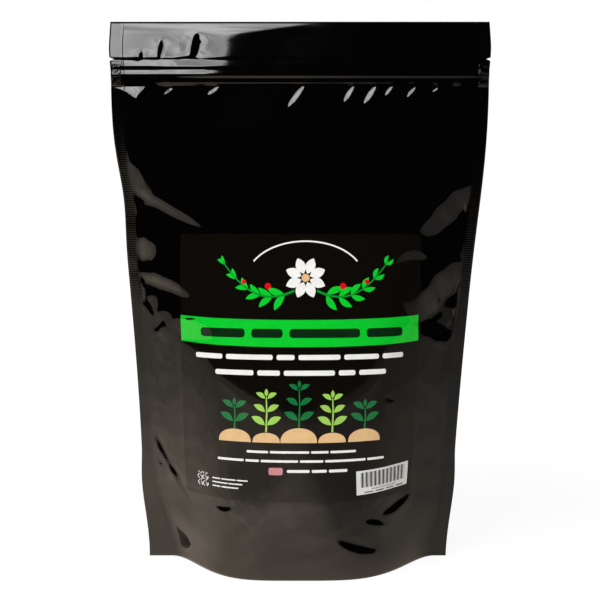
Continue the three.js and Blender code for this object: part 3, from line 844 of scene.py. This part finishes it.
# A square of cells filled by a formula, which says nothing, and a small rose badge.
MARK_LEFT, MARK_LOW, MARK_CELLS, MARK_CELL, MARK_FILL = -77.4, 63.0, 11, 0.91, 0.96
cells = [(i, j) for i in range(MARK_CELLS) for j in range(MARK_CELLS)
         if (i * i + 3 * j + i * j) % 5 in (1, 3)]
mark = [bar(MARK_LEFT + MARK_CELL * i, MARK_LEFT + MARK_CELL * (i + MARK_FILL), MARK_LOW + MARK_CELL * j,
            MARK_LOW + MARK_CELL * (j + MARK_FILL), 0.1) for i, j in cells]
inlay("print_square_mark", mark, white_ink)
inlay("print_badge", [bar(-21, -11, 75.2, 80.4)], laminate("rose label ink under satin laminate", ROSE))

# Garland: a stem to each side with leaves that shrink outwards, berries between, and an open flower under
# a thin arc. It is drawn about the label's own middle.
GARLAND_MIDDLE, FLOWER_HEIGHT = 4, 214
LEAF_PAIRS, LEAF_LONG, LEAF_SHRINK, LEAF_SLIM, LEAF_GAP = 6, 13.5, 1.2, 0.36, 0.5
PETAL_FROM, PETAL_TO, PETAL_WIDTH, HEART_RADIUS = 3.2, 15, 7.0, 2.9
stems, leaves, berries = [], [], []
for side in (-1, 1):
    along = np.linspace(0, 1, 25)
    stem = np.stack([GARLAND_MIDDLE + side * (8 + 52 * along),
                     205 - 11 * np.sin(pi * along * 0.8) + 27 * along ** 1.8], -1)
    stems.append(stroke(stem, 1.7, 0.8) if side > 0 else stroke(stem[::-1], 0.8, 1.7))
    for step in range(LEAF_PAIRS):
        at = stem[3 + 4 * step]
        size = LEAF_LONG - LEAF_SHRINK * step
        for lift_way in (-1, 1):
            turn = radians(38 - 4 * step) * lift_way
            way = stem[min(24, 4 + 4 * step)] - stem[2 + 4 * step]
            angle = atan2(way[1], way[0]) + turn
            way = np.array([cos(angle), sin(angle)])
            leaves.append(leaf(at + LEAF_GAP * way, at + size * way, size * LEAF_SLIM, side * lift_way * 0.8))
        if step in (1, 3):
            berries.append(disc(at + np.array([side * 3.5, 8.5 - step]), 2.6 - 0.3 * step))
inlay("print_garland_leaves", leaves, green_ink)
inlay("print_garland_stems", stems, laminate("mid-green label ink under satin laminate", STEM_GREEN),
      STEM_OVER)
inlay("print_berries", berries, laminate("red label ink under satin laminate", RED), BERRY_OVER)
flower = []
for angle in np.linspace(0, 2 * pi, 9)[:-1] + pi / 8:
    root, tip = ((GARLAND_MIDDLE + reach * cos(angle), FLOWER_HEIGHT + reach * sin(angle))
                 for reach in (PETAL_FROM, PETAL_TO))
    flower.append(leaf(root, tip, PETAL_WIDTH))
arc = np.radians(np.linspace(152, 28, 31))
arc = np.stack([GARLAND_MIDDLE + 42 * np.cos(arc), 213 + 27 * np.sin(arc)], -1)
flower.append(stroke(arc[::-1], 1.1, 1.1))
inlay("print_flower", flower, white_ink)
inlay("print_flower_heart", [disc((GARLAND_MIDDLE, FLOWER_HEIGHT), HEART_RADIUS)],
      laminate("tan label ink under satin laminate", TAN), STEM_OVER)

# Seedlings: low mounds of earth in a row, each with a stem and pairs of leaves. Each mound's middle, half
# width and height, then its seedling's tip and pairs of leaves.
MOUND_FOOT = 98
MOUNDS = ((-46, 12, 9, 128, 2), (-23, 9.8, 7, 135, 3), (0, 12.9, 10.5, 141, 3), (23.5, 9.8, 7, 134, 3),
          (47, 12, 9, 127, 2))
mounds, pale, dark = [], [], []
for number, (middle, half, tall, tip, pairs) in enumerate(MOUNDS):
    round_top = np.radians(np.linspace(0, 180, 19))
    mounds.append([(middle + half * cos(a), MOUND_FOOT + tall * sin(a) ** 0.8) for a in round_top])
    foot = MOUND_FOOT + tall + 0.4
    green = pale if number % 2 else dark
    green.append(stroke([(middle, foot), (middle + 0.4, (foot + tip) / 2), (middle, tip - 5)], 1.3, 0.8))
    for pair in range(pairs):
        low = mix(foot + 5, tip - 6, pair / (pairs - 1))
        size = 10.5 - 1.6 * pair
        for side in (-1, 1):
            tip_place = (middle + side * size, low + 0.55 * size)
            green.append(leaf((middle + side * 0.9, low), tip_place, size * 0.46, side * 0.7))
    green.append(leaf((middle, tip - 4.6), (middle, tip + 1), 2.6))
inlay("print_mounds", mounds, laminate("tan label ink under satin laminate", TAN))
inlay("print_seedlings_pale", pale, laminate("pale-green label ink under satin laminate", LEAF_PALE))
inlay("print_seedlings_dark", dark, laminate("deep-green label ink under satin laminate", LEAF_DARK))


# Barcode label: a small white paper sticker, stuck by hand a little askew over the front label's lower
# right corner, and printed by heat with plain stripes and a line of dots for figures.
STICKER_MIDDLE, STICKER_SIZE, STICKER_TILT = (63.9, 69.2), (44.0, 17.0), 2.6
STICKER_LIFT, STICKER_THICK = LABEL_LIFT + LABEL_THICK + 0.06, 0.1
STICKER_COLUMNS, STICKER_ROWS = 31, 13
STICKER_WHITE, STICKER_DULL, STICKER_IOR = "#dedcd8", 0.45, 1.45
CLOUD_SIZE, CLOUDS = 8.0, (0.3, 0.7, 0.95, 1.02)
FIBRE_SIZE, FIBRE_HEIGHT = 0.8, 0.01
across_way = np.array([cos(radians(STICKER_TILT)), sin(radians(STICKER_TILT))])
up_way = np.array([-across_way[1], across_way[0]])


def on_sticker(right, up):
    """Film places from distances right and up of the sticker's middle."""
    return np.asarray(STICKER_MIDDLE) + np.multiply.outer(right, across_way) + np.multiply.outer(up, up_way)


right, up = np.meshgrid(np.linspace(-STICKER_SIZE[0] / 2, STICKER_SIZE[0] / 2, STICKER_COLUMNS),
                        np.linspace(-STICKER_SIZE[1] / 2, STICKER_SIZE[1] / 2, STICKER_ROWS))
grid = on_sticker(right, up)

# Uncoated label paper: flat white, a little cloudy, with a trace of fibre where light grazes it. Real
# fibres are far thinner than 0.8 mm, and drawn at that because finer ones don't show.
matt, tree, out = new_material("matt white sticker paper")
body = node(tree, "ShaderNodeTexCoord").outputs["Object"]
cloudy = node(tree, "ShaderNodeTexNoise", {"Vector": body, "Scale": 1 / (CLOUD_SIZE * MM), "Detail": 4.0})
tone = node(tree, "ShaderNodeMapRange", [cloudy, *CLOUDS], interpolation_type="SMOOTHSTEP")
sheet = node(tree, "ShaderNodeVectorMath", [linear(STICKER_WHITE)[:3], tone], operation="MULTIPLY")
fibre = node(tree, "ShaderNodeTexNoise", {"Vector": body, "Scale": 1 / (FIBRE_SIZE * MM), "Detail": 3.0})
fibre = node(tree, "ShaderNodeMath", [fibre, FIBRE_HEIGHT], operation="MULTIPLY")
bump = node(tree, "ShaderNodeBump", {"Strength": 1.0, "Distance": MM, "Height": fibre})
skin = node(tree, "ShaderNodeBsdfPrincipled", {"Base Color": sheet, "Roughness": STICKER_DULL,
                                               "IOR": STICKER_IOR, "Normal": bump})
tree.links.new(skin.outputs[0], out.inputs["Surface"])
sticker = film_sheet("barcode_paper", *film_grid(grid[..., 0], grid[..., 1]), STICKER_LIFT, STICKER_THICK,
                     matt)
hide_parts("barcode_label")

# Stripes and gaps take turns, and a formula gives their widths, so they code nothing.
STRIPES, STRIPE_START, STRIPE_END, STRIPE_LOW, STRIPE_HIGH = 34, -18.5, 19.0, -3.6, 7.0
STRIPE_BLACK, STRIPE_IOR, STRIPE_OVER = "#1b1a19", 1.3, 0.02
widths = [1 + (i * i + 2 * i) % 3 for i in range(2 * STRIPES)]
edges_at = STRIPE_START + np.concatenate([[0], np.cumsum(widths)]) * (STRIPE_END - STRIPE_START) / sum(widths)
stripes = [[on_sticker(*p) for p in ((a, STRIPE_LOW), (b, STRIPE_LOW), (b, STRIPE_HIGH), (a, STRIPE_HIGH))]
           for a, b in zip(edges_at[::2], edges_at[1::2])]
figures = [[on_sticker(*p) for p in disc((STRIPE_START + 9 + 1.6 * i, -5.2), 0.45, 8)] for i in range(13)]
figures += [[on_sticker(*p) for p in bar(-16 + 9 * i, -9 + 9 * i, -7.5, -6.8)] for i in range(4)]
film_sheet("barcode_stripes", *filled_shapes(stripes + figures), STICKER_LIFT + STICKER_THICK + STRIPE_OVER,
           INK_THICK, laminate("matt black thermal print", STRIPE_BLACK, ior=STRIPE_IOR))


scene.view_settings.view_transform = "Standard"
